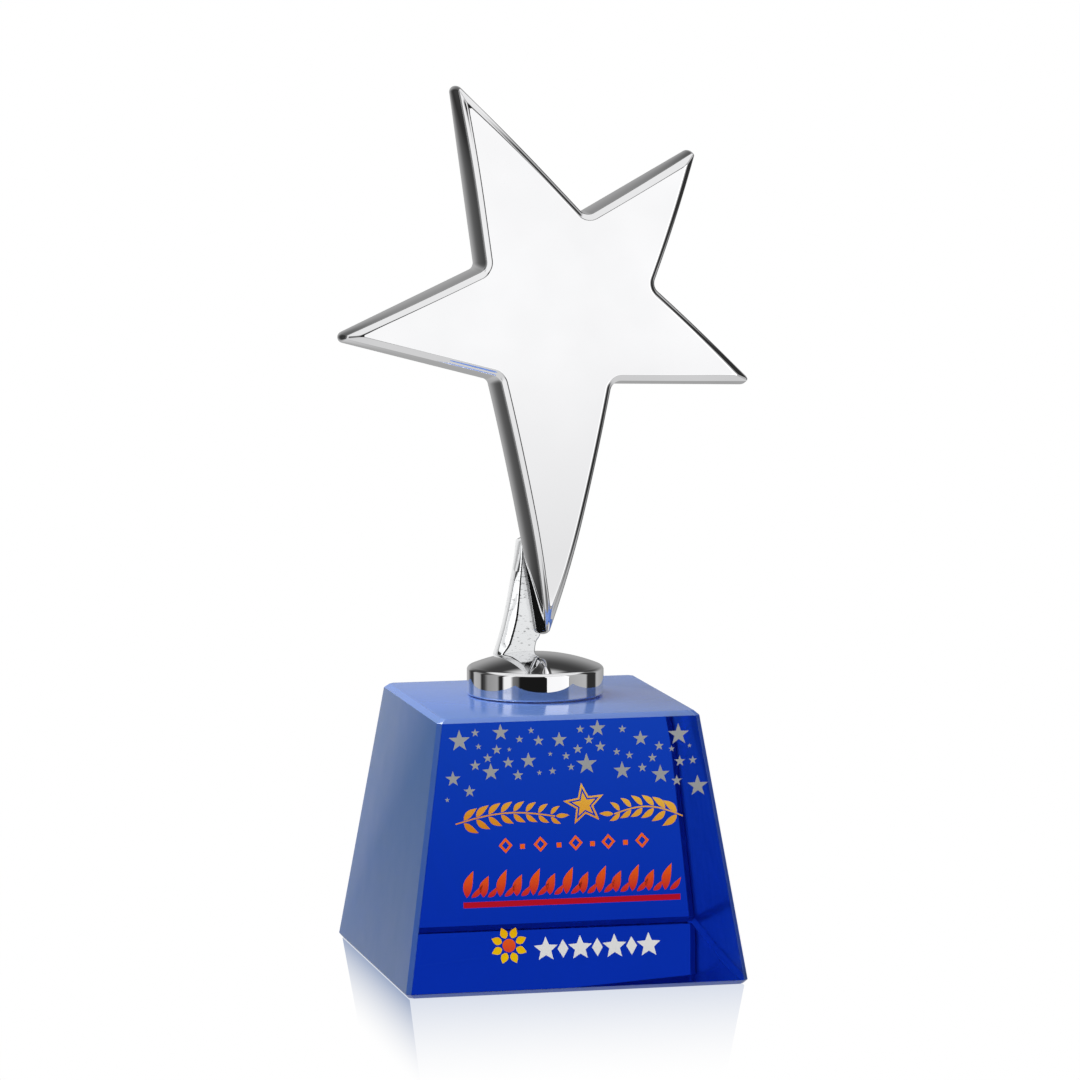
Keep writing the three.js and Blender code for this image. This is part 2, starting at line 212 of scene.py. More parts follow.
class Finishes(bpy.types.PropertyGroup):
    chrome: colour("Chrome", "Colour of the chrome", (0.93, 0.93, 0.94))
    blade: colour("Blade", "Colour of the cast chrome", (0.78, 0.79, 0.8))
    satin: colour("Satin plate", "Colour of the satin back plate", (0.72, 0.73, 0.75))
    steel: colour("Steel", "Colour of the screws", (0.6, 0.61, 0.63))
    crystal: colour("Crystal", "Colour that the crystal lets through", (0.06, 0.46, 0.88))
    side_skin: colour("Side skin", "Colour that clouds the crystal's satin sides", (0.11, 0.36, 0.85))
    top_skin: colour("Top skin", "Colour that clouds the crystal's top", (0.26, 0.46, 1.0))
    silver_ink: colour("Silver ink", "Colour of the printed stars", (0.4, 0.41, 0.42))
    gold_dark: colour("Dark gold", "Darker end of the gold ink", (0.78, 0.24, 0.008))
    gold_light: colour("Light gold", "Lighter end of the gold ink", (1.0, 0.62, 0.08))
    orange: colour("Orange ink", "Colour of the row of lozenges", (1.0, 0.13, 0.0))
    crimson: colour("Crimson ink", "Colour of the bar and of the garland's foot", (0.6, 0.003, 0.022))
    white: colour("White ink", "Colour of the lowest row", (0.95, 0.95, 0.95))
    yellow: colour("Yellow ink", "Colour of the rosette's petals", (1.0, 0.66, 0.0))


class StageSettings(bpy.types.PropertyGroup):
    azimuth: angle_size("Azimuth", "Camera's turn about the trophy", -13.1)
    elevation: angle_size("Elevation", "Camera's height angle", 6.8)
    distance: length("Distance", "From the camera to the point it looks at", 1.361, high=10.0)
    aim_side: length("Aim sideways", "Sideways place of the point looked at", 0.2 * MM)
    aim_height: length("Aim height", "Height of the point looked at", 98.5 * MM)
    focal: FloatProperty(name="Focal length", description="Lens, in mm", default=196.27)
    softbox: brightness("Softbox", "Brightness of the front softboxes", 1.03)
    block_light: brightness("Block light", "Brightness of the block's lamp", 10.0)
    image_front: colour("Front image", "The floor's faint mirror image of the front", (0.7, 0.74, 0.83))
    image_side: colour("Side image", "The floor's faint mirror image of the sides", (0.33, 0.4, 0.56))
    floor_fade: length("Floor fade", "Depth over which the floor's mirror image fades", 22.0 * MM)


class TrophySettings(bpy.types.PropertyGroup):
    star: PointerProperty(type=StarSizes, name="Star")
    back: PointerProperty(type=BackSizes, name="Star's back")
    blade: PointerProperty(type=BladeSizes, name="Blade")
    foot: PointerProperty(type=FootSizes, name="Foot")
    block: PointerProperty(type=BlockSizes, name="Crystal block")
    screws: PointerProperty(type=ScrewSizes, name="Screws")
    print: PointerProperty(type=PrintSizes, name="Print")
    finish: PointerProperty(type=Finishes, name="Finishes")
    stage: PointerProperty(type=StageSettings, name="Stage")


# ---------------------------------------------------------------- nodes and materials

def add_node(tree, kind, inputs=None, **settings):
    """A node with its settings; each input named or numbered is set to a value, or linked to a socket."""
    node = tree.nodes.new(kind)
    for key, value in settings.items():
        setattr(node, key, value)
    for key, value in (inputs or {}).items():
        if isinstance(value, bpy.types.NodeSocket):
            tree.links.new(value, node.inputs[key])
        else:
            node.inputs[key].default_value = value
    return node


def new_material(name):
    """An empty node material and its node tree."""
    material = bpy.data.materials.get(name) or bpy.data.materials.new(name)
    material.use_nodes = True
    material.node_tree.nodes.clear()
    return material, material.node_tree


def shaded(material, inputs, **outputs):
    """Ends a material's tree with a Principled shader that has the given inputs."""
    shader = add_node(material.node_tree, "ShaderNodeBsdfPrincipled", inputs)
    add_node(material.node_tree, "ShaderNodeOutputMaterial", {"Surface": shader.outputs[0], **outputs})
    return material


def pattern(tree, scale=(1, 1, 1)):
    """Object coordinates through a Mapping node."""
    where = add_node(tree, "ShaderNodeTexCoord").outputs["Object"]
    return add_node(tree, "ShaderNodeMapping", {"Vector": where, "Scale": scale}).outputs["Vector"]


def axes(tree, coordinates="Object"):
    """The three separate coordinates, as output sockets."""
    where = add_node(tree, "ShaderNodeTexCoord").outputs[coordinates]
    return add_node(tree, "ShaderNodeSeparateXYZ", {0: where}).outputs


def span(tree, value, low, high, to_low=0.0, to_high=1.0, **settings):
    """A value remapped from one range to another, as an output socket."""
    return add_node(tree, "ShaderNodeMapRange", {
        "Value": value, "From Min": low, "From Max": high, "To Min": to_low, "To Max": to_high,
    }, **settings).outputs["Result"]


def maths(tree, operation, first, second, **settings):
    """A Math node's result, as an output socket."""
    return add_node(tree, "ShaderNodeMath", {0: first, 1: second}, operation=operation, **settings).outputs[0]


def noise(tree, vector, scale, detail, low=0.0, high=1.0):
    """Noise remapped to a range, as an output socket."""
    texture = add_node(tree, "ShaderNodeTexNoise", {"Vector": vector, "Scale": scale, "Detail": detail})
    return span(tree, texture.outputs["Fac"], *NOISE_RANGE, low, high)


def tint(tree, factor, first, second):
    """A mix of two colours, either of them a socket, by a factor, as an output socket."""
    first, second = [c if isinstance(c, bpy.types.NodeSocket) else (*c, 1) for c in (first, second)]
    return add_node(
        tree, "ShaderNodeMix", {MIX_FACTOR: factor, MIX_FIRST: first, MIX_SECOND: second}, data_type="RGBA"
    ).outputs[MIX_RESULT]


def darker(shade, share):
    return [share * part for part in shade]


def metal_material(name, base, roughness, grain, strength, depth=0.01 * MM, grain_scale=(1, 1, 1), specks=0.0,
                   film_and_painted_shade=None):
    """A metal with a cloudy roughness and a fine grain; grain_scale stretches the grain for brushing.

    Specks above zero adds small dark casting marks. The last argument gives two heights: below the first the
    colour is darkened, a painted shade, which fades out by the second.
    """
    material, tree = new_material(name)
    cloud = pattern(tree)
    shade = tint(tree, noise(tree, cloud, 35, 3), darker(base, 0.93), base)
    if specks:
        marks = add_node(tree, "ShaderNodeTexNoise", {
            "Vector": pattern(tree, (0.6, 1, 1.6)), "Scale": 1500.0, "Detail": 3.0,
        })
        cut = span(tree, marks.outputs["Fac"], 0.62, 0.68, 0.0, specks)
        shade = tint(tree, cut, shade, darker(base, 0.3))
    if film_and_painted_shade:
        # Painted shade: the colour is darkened to 0.8 below the first height and fades back to the plain
        # colour by the second.
        shade = tint(tree, span(tree, axes(tree)["Z"], *film_and_painted_shade), darker(base, 0.8), shade)
    bump = add_node(tree, "ShaderNodeBump", {
        "Height": noise(tree, pattern(tree, grain_scale), grain, 4), "Strength": strength, "Distance": depth,
    })
    return shaded(material, {
        "Metallic": 1.0, "Base Color": shade, "Roughness": noise(tree, cloud, 60, 3, *roughness),
        "Normal": bump.outputs["Normal"],
    })


def crystal_material(name, base, roughness, skin=(1.0, 1.0, 1.0), cloud=0.0, coat=0.0):
    """Blue optical crystal whose body absorbs red and green.

    A satin face also has a skin that clouds it, and a coat that makes it shine at a glance.
    """
    material, tree = new_material(name)
    surface = pattern(tree)
    body = add_node(tree, "ShaderNodeVolumeAbsorption", {"Color": (*base, 1), "Density": CRYSTAL_DENSITY})
    return shaded(material, {
        "IOR": CRYSTAL_IOR, "Transmission Weight": 1.0 - cloud, "Coat Weight": coat, "Coat Roughness": 0.1,
        "Base Color": tint(tree, noise(tree, surface, 90, 3), darker(skin, 0.97), skin),
        "Roughness": noise(tree, surface, 140, 4, *roughness),
    }, Volume=body.outputs[0])


def adhesive_material():
    """A clear cured film with a few cloudy patches."""
    material, tree = new_material("clear_adhesive")
    film_and_painted_shade = pattern(tree)
    return shaded(material, {
        "IOR": ADHESIVE_IOR, "Transmission Weight": 0.6, "Roughness": noise(tree, film_and_painted_shade, 700, 4, 0.3, 0.5),
        "Base Color": tint(tree, noise(tree, film_and_painted_shade, 400, 3), (0.8, 0.84, 0.9), (1, 1, 1)),
    })


def ink_material(name, low, high, bottom, top, across=0.0):
    """A printed ink whose colour runs from low to high between two heights, slanted by a share of X."""
    material, tree = new_material(name)
    x, _, z = axes(tree)
    height = maths(tree, "ADD", maths(tree, "MULTIPLY", x, across), z)
    grain = noise(tree, pattern(tree), 2500, 2, -0.06, 0.06)
    share = maths(tree, "ADD", span(tree, height, bottom, top), grain, use_clamp=True)
    return shaded(material, {
        "Roughness": 0.5, "Specular IOR Level": 0.15, "Base Color": tint(tree, share, low, high),
    })


def give_material(thing, *materials):
    """Replaces the piece's materials."""
    thing.data.materials.clear()
    for material in materials:
        thing.data.materials.append(material)


def trophy_sizes():
    """The sizes and colours that the panel shows."""
    return bpy.context.scene.trophy


def tilted(place, angle):
    """A place in the trophy, leaning by an angle about the X axis."""
    return Matrix.Translation(place) @ Matrix.Rotation(angle, 4, "X")


# ---------------------------------------------------------------- meshes and pieces

def star_place():
    """From the star's leaning frame to the trophy's frame."""
    star = trophy_sizes().star
    return tilted((0, star.setback, FOOT_HIGH.z + star.tip_gap), -star.lean)


def face_place():
    """From across, out and up the printed face of the block to the trophy's frame."""
    block = trophy_sizes().block
    tilt = math.atan2((block.bottom - block.top) / 2, BLOCK_HEIGHT)
    return tilted((0, -block.bottom / 2, BLOCK_LOW.z), -tilt)


def bridge(rings, closed_ends=True):
    """A mesh that joins rings of equal count front to back, with a flat cap at each end."""
    mesh = bmesh.new()
    rows = [[mesh.verts.new(point) for point in ring] for ring in rings]
    count = len(rings[0])
    for near, far in zip(rows, rows[1:]):
        for i in range(count):
            j = (i + 1) % count
            mesh.faces.new((near[i], far[i], far[j], near[j]))
    if closed_ends:
        mesh.faces.new(rows[0])
        mesh.faces.new(list(reversed(rows[-1])))
    return mesh


def finish_mesh(mesh, name, place=None):
    """Turns a bmesh into an object whose faces point outwards, with its place in its vertices."""
    bmesh.ops.remove_doubles(mesh, verts=mesh.verts, dist=1e-7)
    bmesh.ops.recalc_face_normals(mesh, faces=mesh.faces)
    data = bpy.data.meshes.new(name)
    mesh.to_mesh(data)
    mesh.free()
    if place:
        data.transform(place)
    for face in data.polygons:
        face.use_smooth = True
    thing = bpy.data.objects.new(name, data)
    bpy.context.scene.collection.objects.link(thing)
    return thing


def bake_modifiers(thing):
    """Replaces the object's mesh by what its modifiers make, and removes them."""
    bpy.context.view_layer.update()
    graph = bpy.context.evaluated_depsgraph_get()
    data = bpy.data.meshes.new_from_object(thing.evaluated_get(graph), depsgraph=graph)
    thing.modifiers.clear()
    data.name = thing.name
    thing.data = data
    return thing


def cut_away(thing, cutters):
    """Cuts the cutter objects out of the object, and removes them."""
    for number, cutter in enumerate(cutters):
        cut = thing.modifiers.new(f"cut_{number}", "BOOLEAN")
        cut.operation, cut.solver, cut.object = "DIFFERENCE", "EXACT", cutter
    bake_modifiers(thing)
    for cutter in cutters:
        bpy.data.objects.remove(cutter)


def soften(thing, width, segments, degrees):
    """Rounds every edge where two faces meet more steeply than the angle."""
    bevel = thing.modifiers.new("edges", "BEVEL")
    bevel.width, bevel.segments = width, segments
    bevel.limit_method, bevel.angle_limit = "ANGLE", math.radians(degrees)
    bake_modifiers(thing)


def sharpen(thing, degrees):
    """Smooth shading, with a crisp edge wherever two faces meet more steeply than the angle."""
    thing.data.polygons.foreach_set("use_smooth", [True] * len(thing.data.polygons))
    thing.data.set_sharp_from_angle(angle=math.radians(degrees))


def finished(thing, slot, replaced, *materials):
    """Gives a piece its materials and its body, and hides the nodes it stands for; the slot is not used."""
    give_material(thing, *materials)
    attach(thing, "root")
    if replaced:
        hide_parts(*replaced)
    return thing


def around(sides):
    """The angles of a circle's corners."""
    return [2 * math.pi * k / sides for k in range(sides)]


def turned(profile, sides, name, place=None, axis="Z"):
    """A body turned about an axis from (radius, height) points that start and end on the axis."""
    mesh = bmesh.new()
    turn = {"Z": Matrix.Identity(3), "Y": Matrix.Rotation(-math.pi / 2, 3, "X")}[axis]
    rows = []
    for radius, height in profile:
        angles = around(sides) if radius > ON_AXIS else [0.0]
        rows.append([
            mesh.verts.new(turn @ Vector((radius * math.cos(a), radius * math.sin(a), height))) for a in angles
        ])
    for near, far in zip(rows, rows[1:]):
        for i in range(sides):
            j = (i + 1) % sides
            corners = [near[i % len(near)], far[i % len(far)], far[j % len(far)], near[j % len(near)]]
            mesh.faces.new(list(dict.fromkeys(corners)))
    return finish_mesh(mesh, name, place)


# ---------------------------------------------------------------- the star

def star_outline(inset):
    """The star's outline in mm, moved inwards by a distance, with its tips and notches rounded."""
    star = trophy_sizes().star
    corners = [Vector(corner) for corner in STAR_CORNERS]
    count = len(corners)
    along = [(corners[(i + 1) % count] - corners[i]).normalized() for i in range(count)]
    starts = [corners[i] + inset * Vector((-along[i].y, along[i].x)) for i in range(count)]
    arcs = []
    for i in range(count):
        before, after = along[i - 1], along[i]
        reach = (starts[i] - starts[i - 1]).cross(after) / before.cross(after)
        corner = starts[i - 1] + before * reach
        turn = math.atan2(before.cross(after), before.dot(after))
        tip = turn > 0
        radius = max(star.tip_radius / MM - inset, 0.25) if tip else star.notch_radius / MM + inset
        tangent = radius * math.tan(abs(turn) / 2)
        start = corner - before * tangent
        centre = start + Vector((-before.y, before.x)) * (radius if tip else -radius)
        start -= centre
        arcs.append([Matrix.Rotation(turn * k / ARC_STEPS, 2) @ start + centre for k in range(ARC_STEPS + 1)])
    points = []
    for i, arc in enumerate(arcs):
        first, last = arc[-1], arcs[(i + 1) % count][0]
        leg_side = i == BOTTOM_TIP or i + 1 == BOTTOM_TIP
        points.extend(arc)
        for k in range(1, EDGE_STEPS):
            t = k / EDGE_STEPS
            point = first.lerp(last, t)
            if leg_side:
                point.x += star.leg_bow / MM * 4 * t * (1 - t)
            points.append(point)
    return points


def front_fall(point):
    """How far the face has fallen back at a point of the star's plane, in mm."""
    star = trophy_sizes().star
    tips = STAR_CORNERS[0::2]
    away = min(math.hypot(point[0] - x, point[1] - z) for x, z in tips)
    near = max(0.0, 1 - away / (star.tip_reach / MM))
    return star.tip_drop / MM * near * near


def star_ring(inset, depth, share, floor=None):
    """A ring of the outline at a depth behind the star's back plane, in metres; floor lifts its low points."""
    ring = []
    for point in star_outline(inset):
        height = point.y if floor is None else max(point.y, floor)
        ring.append(Vector((point.x, depth + share * front_fall(point), height)) * MM)
    return ring


def face_grid(outline, step):
    """Points on a triangular grid inside the outline, clear of its edge, in mm."""
    count = len(outline)
    xs, ys = [p.x for p in outline], [p.y for p in outline]
    found = []
    row = 0
    y = min(ys)
    while y < max(ys):
        x = min(xs) + (step / 2 if row % 2 else 0)
        while x < max(xs):
            inside, clear = False, True
            for i in range(count):
                a, b = outline[i], outline[(i + 1) % count]
                if (a.y > y) != (b.y > y) and x < (b.x - a.x) * (y - a.y) / (b.y - a.y) + a.x:
                    inside = not inside
                if (a.x - x) ** 2 + (a.y - y) ** 2 < (0.6 * step) ** 2:
                    clear = False
                    break
            if inside and clear:
                found.append(Vector((x, y)))
            x += step
        y += step * GRID_ROW
        row += 1
    return found


def star_section():
    """The star's edge from the face's border to the back rim: (inset, depth, share of the fall), in mm."""
    star = trophy_sizes().star
    depth, back_bevel, swell = star.depth / MM, star.back_bevel / MM, star.swell / MM
    across, fall, bulge = star.bevel_across / MM, star.bevel_depth / MM, star.bevel_bulge / MM
    soft = star.bevel_round / MM
    rim_soft = 0.8 * soft
    corner, rim = Vector((across, -depth)), Vector((0, -depth + fall))
    slope = (rim - corner).normalized()
    out = Vector((slope.y, slope.x)) * -bulge
    inner, outer = corner + slope * soft, rim - slope * rim_soft
    section = [(across + soft + FACE_BORDER, -depth, 1.0)]

    def curve(first, pull, last, steps):
        for k in range(steps):
            t = k / steps
            point = first * (1 - t) ** 2 + pull * 2 * t * (1 - t) + last * t * t
            section.append((point.x, point.y, 1.0))

    curve(corner + Vector((soft, 0)), corner, inner, 7)
    curve(inner, (inner + outer) / 2 + out * 2, outer, 6)
    curve(outer, rim, rim + Vector((0, rim_soft)), 6)
    wall_front, wall_back = rim.y + rim_soft, -back_bevel
    section.append((0, wall_front, 1.0))
    for k in range(1, WALL_STEPS + 1):
        t = k / WALL_STEPS
        inset = -swell * math.sin(math.pi / 2 * t)
        section.append((inset, wall_front + (wall_back - wall_front) * t, 1 - t))
    for k in range(1, BACK_STEPS + 1):
        angle = math.pi / 2 * k / BACK_STEPS
        inset = -swell + back_bevel * (1 - math.cos(angle))
        section.append((inset, wall_back * (1 - math.sin(angle)), 0.0))
    return section


def build_star():
    """The star's shell: a face that falls back at its tips, polished edges, and a hollow back."""
    sizes = trophy_sizes()
    star, back = sizes.star, sizes.back
    depth = star.depth / MM
    section = star_section()
    rings = [star_ring(inset, y, share) for inset, y, share in section]
    floor = back.hollow_foot / MM
    margin, ledge = back.margin / MM, back.ledge / MM
    shelf = -(back.recess + back.thickness + back.seat_gap) / MM
    hollow = -depth + star.wall / MM
    for inset, y in ((0, 0), (0, shelf), (ledge, shelf), (ledge, hollow)):
        rings.append(star_ring(margin + inset, y, 0, floor + inset))
    mesh = bridge(rings, closed_ends=False)
    mesh.verts.ensure_lookup_table()
    count = len(rings[0])
    mesh.faces.new([mesh.verts[len(mesh.verts) - 1 - i] for i in range(count)])
    border = star_outline(section[0][0])
    edges = [(i, (i + 1) % count) for i in range(count)]
    points, _, faces, *_ = delaunay_2d_cdt(border + face_grid(border, GRID_STEP), edges, [], 1, 1e-6)
    skin = [mesh.verts.new(Vector((p.x, -depth + front_fall(p), p.y)) * MM) for p in points]
    for face in faces:
        mesh.faces.new([skin[i] for i in reversed(face)])
    bmesh.ops.remove_doubles(mesh, verts=mesh.verts, dist=2e-6)
    thing = finish_mesh(mesh, "polished_star", star_place())
    sharpen(thing, 30)
    return thing


def drill(thing, length, back, spots):
    """Cuts a countersunk hole for a screw at each spot of the star's plane, given as (across, up) in mm."""
    screw, clear = trophy_sizes().screws, SCREW_CLEARANCE
    head, shank, end = screw.head + clear, screw.shank + clear, -length - clear
    profile = [
        (0, MM), (head, MM), (head, -screw.rim - clear),
        (shank, -screw.head_depth - clear), (shank, end), (0, end),
    ]
    cutters = []
    for number, (across, up) in enumerate(spots):
        where = star_place() @ Matrix.Translation((across * MM, back * MM, up * MM))
        cutters.append(turned(profile, SCREW_SIDES, f"cutter_{number}", where, axis="Y"))
    cut_away(thing, cutters)


def build_back_plate():
    """The plate that closes the star's back, with a broken edge and three countersunk holes."""
    sizes = trophy_sizes()
    back = sizes.back
    inset = (back.margin + back.seat_gap) / MM
    floor = (back.hollow_foot + back.seat_gap) / MM
    outer, inner = -back.recess / MM, -(back.recess + back.thickness) / MM
    steps = ((0, inner), (0, outer - 0.2), (0.06, outer - 0.06), (0.2, outer))
    rings = [star_ring(inset + step, y, 0, floor + step) for step, y in steps]
    thing = finish_mesh(bridge(rings), "star_back_cover", star_place())
    drill(thing, sizes.screws.plate_length, outer, STAR_PLATE_SCREWS)
    sharpen(thing, 25)
    return thing


def clamp(value):
    return max(0.0, min(1.0, value))


# ---------------------------------------------------------------- blade and foot

def smooth_line(points, steps):
    """A uniform Catmull-Rom curve through 2-D points."""
    padded = [points[0], *points, points[-1]]
    line = []
    for k in range(steps + 1):
        place = (len(points) - 1) * k / steps
        i = min(int(place), len(points) - 2)
        t = place - i
        p0, p1, p2, p3 = [Vector(p) for p in padded[i:i + 4]]
        v0, v1 = (p2 - p0) / 2, (p3 - p1) / 2
        line.append(
            (2 * p1 - 2 * p2 + v0 + v1) * t ** 3 + (-3 * p1 + 3 * p2 - 2 * v0 - v1) * t ** 2 + v0 * t + p1
        )
    return line


def build_blade():
    """The curved blade: its left side slants in towards the front, and all its edges are rounded."""
    sizes = trophy_sizes()
    blade = sizes.blade
    near = sizes.back.seat_gap / MM
    far = near + blade.thickness / MM
    (foot_left, foot_height), (_, top) = BLADE_LEFT[0], BLADE_LEFT[-1]
    low = foot_height - blade.root / MM
    left = [Vector((foot_left, low)), *smooth_line(BLADE_LEFT, BLADE_STEPS)]
    right = [*smooth_line(BLADE_RIGHT, BLADE_STEPS), Vector((BLADE_RIGHT[-1][0], low))]

    def slanted(point):
        rise = clamp((point.y + 6) / 4) * clamp((top + 2 - point.y) / 20)
        return Vector((point.x + blade.slant / MM * rise, point.y))

    outline = [*left, Vector(BLADE_TOP), *right][::-1]
    front = [*map(slanted, left), Vector(BLADE_TOP), *right][::-1]
    layers = ((near, front), (near + blade.slant_depth / MM, outline), (far, outline))
    rings = [[Vector((p.x, y, p.y)) * MM for p in layer] for y, layer in layers]
    thing = finish_mesh(bridge(rings), "curved_blade", star_place())
    soften(thing, blade.edge, 4, 30)
    mesh = bmesh.new()
    mesh.from_mesh(thing.data)
    broad = sorted(mesh.faces, key=lambda face: -face.calc_area())[:2]
    bmesh.ops.inset_individual(mesh, faces=broad, thickness=0.06 * MM)
    mesh.to_mesh(thing.data)
    mesh.free()
    drill(thing, sizes.screws.star_length, far, BLADE_SCREWS)
    sharpen(thing, 30)
    return thing


def build_foot():
    """The round foot: a softly rounded rim, a shoulder and a shallow dome, slotted for the blade's root."""
    sizes = trophy_sizes()
    foot, blade, gap = sizes.foot, sizes.blade, sizes.back.seat_gap
    radius = (FOOT_HIGH.x - FOOT_LOW.x) / 2
    height = FOOT_HIGH.z - FOOT_LOW.z
    dome_edge = radius - foot.shoulder
    sphere = (dome_edge ** 2 + foot.dome ** 2) / (2 * foot.dome)
    profile = [(0, height)]
    for k in range(1, DOME_STEPS + 1):
        r = dome_edge * k / DOME_STEPS
        profile.append((r, height - sphere + math.sqrt(sphere ** 2 - r ** 2)))
    lean = math.asin(dome_edge / sphere)
    rise = height - foot.dome - foot.rim
    for k in range(1, SHOULDER_STEPS + 1):
        angle = lean + (math.pi / 2 - lean) * k / SHOULDER_STEPS
        out = (math.sin(angle) - math.sin(lean)) / (1 - math.sin(lean))
        profile.append((dome_edge + foot.shoulder * out, foot.rim + rise * math.cos(angle) / math.cos(lean)))
    for z in (foot.rim - 0.15 * MM, foot.edge + 0.15 * MM, foot.edge):
        profile.append((radius, z))
    for k in range(1, 5):
        angle = math.pi / 2 * k / 4
        profile.append((radius - foot.edge * (1 - math.cos(angle)), foot.edge * (1 - math.sin(angle))))
    profile.append((0, 0))
    middle = (FOOT_LOW.y + FOOT_HIGH.y) / 2
    thing = turned(profile, FOOT_SIDES, "domed_foot", Matrix.Translation((0, middle, FOOT_LOW.z)))
    low, high = BLADE_LEFT[0][1] - blade.root / MM - 0.3, 6
    near, far = gap / MM - SLOT_CLEARANCE, (gap + blade.thickness) / MM + SLOT_CLEARANCE
    left, right = BLADE_LEFT[0][0] - SLOT_CLEARANCE, BLADE_RIGHT[-1][0] + SLOT_CLEARANCE
    rings = [
        [Vector((x, y, z)) * MM for x, z in ((left, low), (right, low), (right, high), (left, high))]
        for y in (near, far)
    ]
    cut_away(thing, [finish_mesh(bridge(rings), "slot_cutter", star_place())])
    sharpen(thing, 35)
    return thing


def build_block():
    """The tapered crystal block, every edge chamfered and each chamfer's edges just broken."""
    block = trophy_sizes().block
    chamfer = block.chamfer

    def ring(z, inset=0.0):
        half = (block.bottom + (block.top - block.bottom) * z / BLOCK_HEIGHT) / 2 - inset
        cut = half - chamfer
        corners = [
            (-cut, -half), (cut, -half), (half, -cut), (half, cut),
            (cut, half), (-cut, half), (-half, cut), (-half, -cut),
        ]
        return [Vector((x, y, BLOCK_LOW.z + z)) for x, y in corners]

    rings = [ring(0, chamfer), ring(chamfer), ring(BLOCK_HEIGHT - chamfer), ring(BLOCK_HEIGHT, chamfer)]
    thing = finish_mesh(bridge(rings), "blue_crystal_block")
    soften(thing, block.edge, 2, 20)
    sharpen(thing, 12)
    return thing


# ---------------------------------------------------------------- screws

def screw_body(name, length):
    """A countersunk screw along -Y with a hexagon socket in its head, its head's end at the origin."""
    screw = trophy_sizes().screws
    brim, point = 0.1 * MM, 0.3 * MM

    def hexagon(angle):
        return screw.socket / 2 / math.cos((angle + math.pi / 6) % (math.pi / 3) - math.pi / 6)

    rows = [
        (hexagon, -screw.socket_depth), (hexagon, 0), (screw.head - brim, 0), (screw.head, -brim),
        (screw.head, -screw.rim), (screw.shank, -screw.head_depth), (screw.shank, -length + point),
        (screw.shank - point, -length),
    ]
    rings = []
    for reach, y in rows:
        radii = [(a, reach(a) if callable(reach) else reach) for a in around(SCREW_SIDES)]
        rings.append([Vector((radius * math.cos(a), y, radius * math.sin(a))) for a, radius in radii])
    return finish_mesh(bridge(rings), name)


def geometry_tree(name, inputs):
    """A Geometry Nodes tree with named inputs of the given kinds, and its entry's sockets."""
    tree = bpy.data.node_groups.new(name, "GeometryNodeTree")
    for socket, kind in (("Geometry", "Geometry"), *inputs, ("Material", "Material")):
        tree.interface.new_socket(socket, in_out="INPUT", socket_type="NodeSocket" + kind)
    tree.interface.new_socket("Geometry", in_out="OUTPUT", socket_type="NodeSocketGeometry")
    return tree, tree.nodes.new("NodeGroupInput").outputs


def end_tree(tree, geometry, material):
    """Ends a tree: its instances are made real and get their material."""
    solid = add_node(tree, "GeometryNodeRealizeInstances", {0: geometry})
    finish = add_node(tree, "GeometryNodeSetMaterial", {"Geometry": solid.outputs[0], "Material": material})
    add_node(tree, "NodeGroupOutput", {0: finish.outputs[0]})
    return tree


def screw_row_tree():
    """Geometry Nodes that set a turned copy of a screw on each point, and give it its steel."""
    tree, entry = geometry_tree("Screw row", [("Screw", "Object"), ("Lean", "Float")])
    source = add_node(tree, "GeometryNodeObjectInfo", {"Object": entry["Screw"]}, transform_space="ORIGINAL")
    turn = add_node(tree, "ShaderNodeCombineXYZ", {"X": entry["Lean"]})
    place = add_node(tree, "GeometryNodeInstanceOnPoints", {
        "Points": entry["Geometry"], "Instance": source.outputs["Geometry"], "Rotation": turn.outputs[0],
    })
    return end_tree(tree, place.outputs[0], entry["Material"])


def set_inputs(modifier, values):
    """Sets a Geometry Nodes modifier's inputs by the identifiers of its named sockets."""
    for item in modifier.node_group.interface.items_tree:
        if item.in_out == "INPUT" and item.name in values:
            modifier[item.identifier] = values[item.name]


def screw_row(name, length, back, spots, replaced, steel):
    """A row of screws on spots of the star's plane, given as (across, up) in mm."""
    points = bmesh.new()
    for across, up in spots:
        points.verts.new(Vector((across, back, up)) * MM)
    thing = finish_mesh(points, name, star_place())
    master = screw_body(name + "_master", length)
    row = thing.modifiers.new("row", "NODES")
    row.node_group = bpy.data.node_groups.get("Screw row") or screw_row_tree()
    set_inputs(row, {"Screw": master, "Lean": -trophy_sizes().star.lean, "Material": steel})
    bake_modifiers(thing)
    bpy.data.objects.remove(master)
    sharpen(thing, 30)
    return finished(thing, "steel", replaced, steel)


# ---------------------------------------------------------------- the print

def plate(mesh, outline, hole=None):
    """Adds a thin closed plate of a 2-D outline, in mm on the printed face; a hole makes it a frame."""
    ink = trophy_sizes().print
    near, far = -(ink.lift + ink.thickness), -ink.lift
    rows = [
        [[mesh.verts.new((x * MM, y, z * MM)) for x, z in loop] for y in (near, far)]
        for loop in ([outline, hole] if hole else [outline])
    ]
    for front, back in rows:
        for i in range(len(front)):
            j = (i + 1) % len(front)
            mesh.faces.new((front[i], back[i], back[j], front[j]))
    if not hole:
        mesh.faces.new(rows[0][0])
        mesh.faces.new(list(reversed(rows[0][1])))
        return
    for layer, (outer, inner) in enumerate(zip(*rows)):
        for i in range(len(outer)):
            j = (i + 1) % len(outer)
            corners = (outer[i], outer[j], inner[j], inner[i])
            mesh.faces.new(corners if layer == 0 else tuple(reversed(corners)))


def spoke(degrees, centre=(0, 0), radius=1.0):
    """A point at an angle and a distance from a centre."""
    angle = math.radians(degrees)
    return Vector((centre[0] + radius * math.cos(angle), centre[1] + radius * math.sin(angle)))


